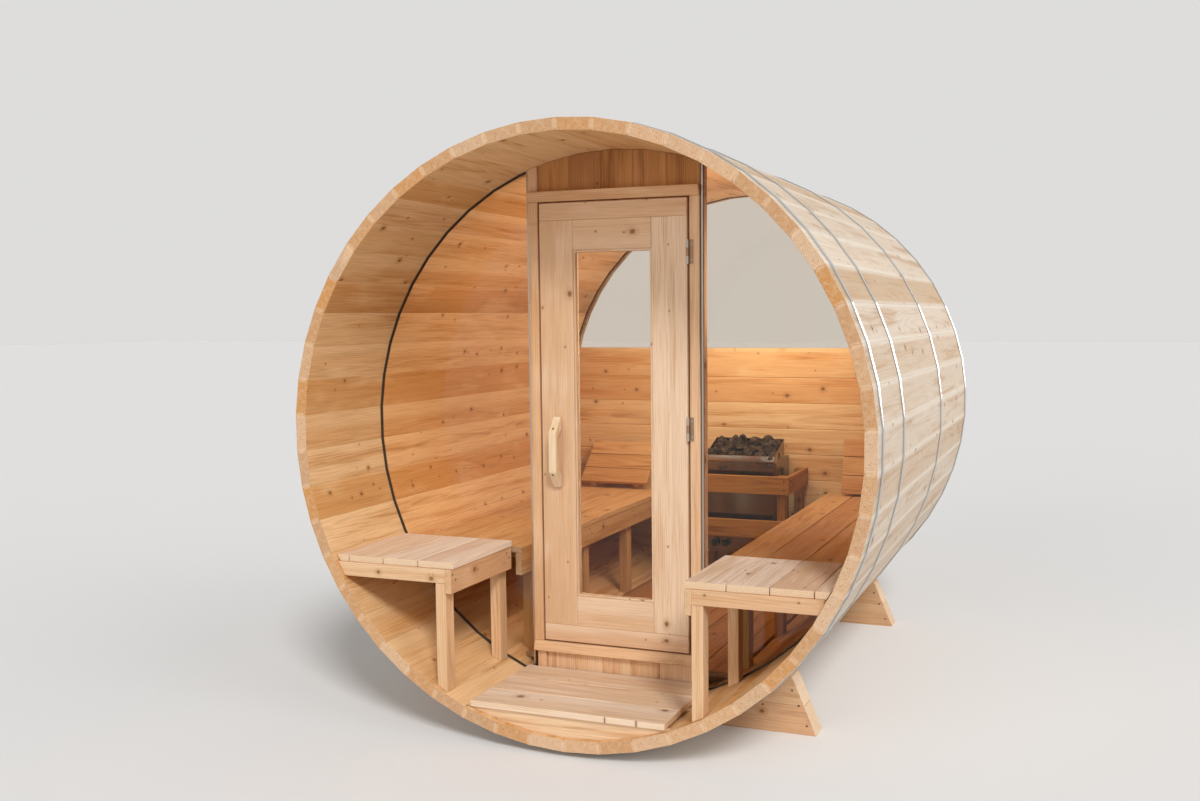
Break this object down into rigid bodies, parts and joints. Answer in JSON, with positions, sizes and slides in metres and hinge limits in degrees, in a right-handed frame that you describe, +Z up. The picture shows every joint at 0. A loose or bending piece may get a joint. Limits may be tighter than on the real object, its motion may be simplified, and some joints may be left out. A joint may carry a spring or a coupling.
{
  "type": "barrel sauna",
  "caption": "Barrel sauna of bead-and-cove staves on two cradles, with an open bench porch, glass front wall, hinged glazed door, inner benches and a guarded stone heater.",
  "frame": {"origin": "on the ground under the middle of the building", "axes": "+Z up, +X to the right seen from the porch, -Y towards the front, barrel axis along Y"},
  "size_m": [2.1184, 2.33, 2.1374],
  "materials": {
    "stave_cedar": "weathered outside, clear inside",
    "frame_cedar": "planed",
    "deck_cedar": "planed",
    "bench_cedar": "sanded",
    "door_cedar": "sanded",
    "cradle_timber": "sawn",
    "handle_wood": "sanded",
    "band_steel": "satin",
    "hinge_steel": "satin",
    "channel_aluminium": "anodised",
    "gasket_rubber": "matt",
    "bronze_glass": "bronze tint",
    "heater_steel": "brushed",
    "knob_plastic": "matt",
    "heater_stone": "rough stone"
  },
  "bodies": {
    "building": {"boards_above_door": "frame_cedar", "boards_below_door": "frame_cedar", "cabin_backrests": "bench_cedar", "cabin_bench_frame_left": "bench_cedar", "cabin_bench_frame_right": "bench_cedar", "cabin_bench_left": "bench_cedar", "cabin_bench_right": "bench_cedar", "cabin_floor": "deck_cedar", "cradle_front": "cradle_timber", "cradle_rear": "cradle_timber", "door_frame_trims": "frame_cedar", "door_posts": "frame_cedar", "floor_bearers": "deck_cedar", "front_glass_left": "bronze_glass", "front_glass_right": "bronze_glass", "glass_channels": "channel_aluminium", "glass_gaskets": "gasket_rubber", "heater_body": "heater_steel", "heater_guard": "bench_cedar", "heater_knobs": "knob_plastic", "heater_stones": "heater_stone", "porch_bench_frame_left": "bench_cedar", "porch_bench_frame_right": "bench_cedar", "porch_bench_left": "bench_cedar", "porch_bench_right": "bench_cedar", "porch_deck": "deck_cedar", "porch_fascia": "deck_cedar", "post_hinge_leaves": "hinge_steel", "rear_glass": "bronze_glass", "rear_wall_boards": "frame_cedar", "staves_sector_01": "stave_cedar", "staves_sector_02": "stave_cedar", "staves_sector_03": "stave_cedar", "staves_sector_04": "stave_cedar", "staves_sector_05": "stave_cedar", "staves_sector_06": "stave_cedar", "staves_sector_07": "stave_cedar", "staves_sector_08": "stave_cedar", "staves_sector_09": "stave_cedar", "staves_sector_10": "stave_cedar", "steel_bands": "band_steel"},
    "door": {"door_leaf": "door_cedar", "door_glass": "bronze_glass", "door_beads": "door_cedar", "door_handle": "handle_wood", "door_hinge_leaves": "hinge_steel"}
  },
  "joints": [
    {"name": "door_hinge", "type": "hinge", "parent": "building", "child": "door", "pos_m": [0.294, -0.713, 1.062], "axis": [0, 0, 1], "range_deg": [0, 105]}
  ]
}
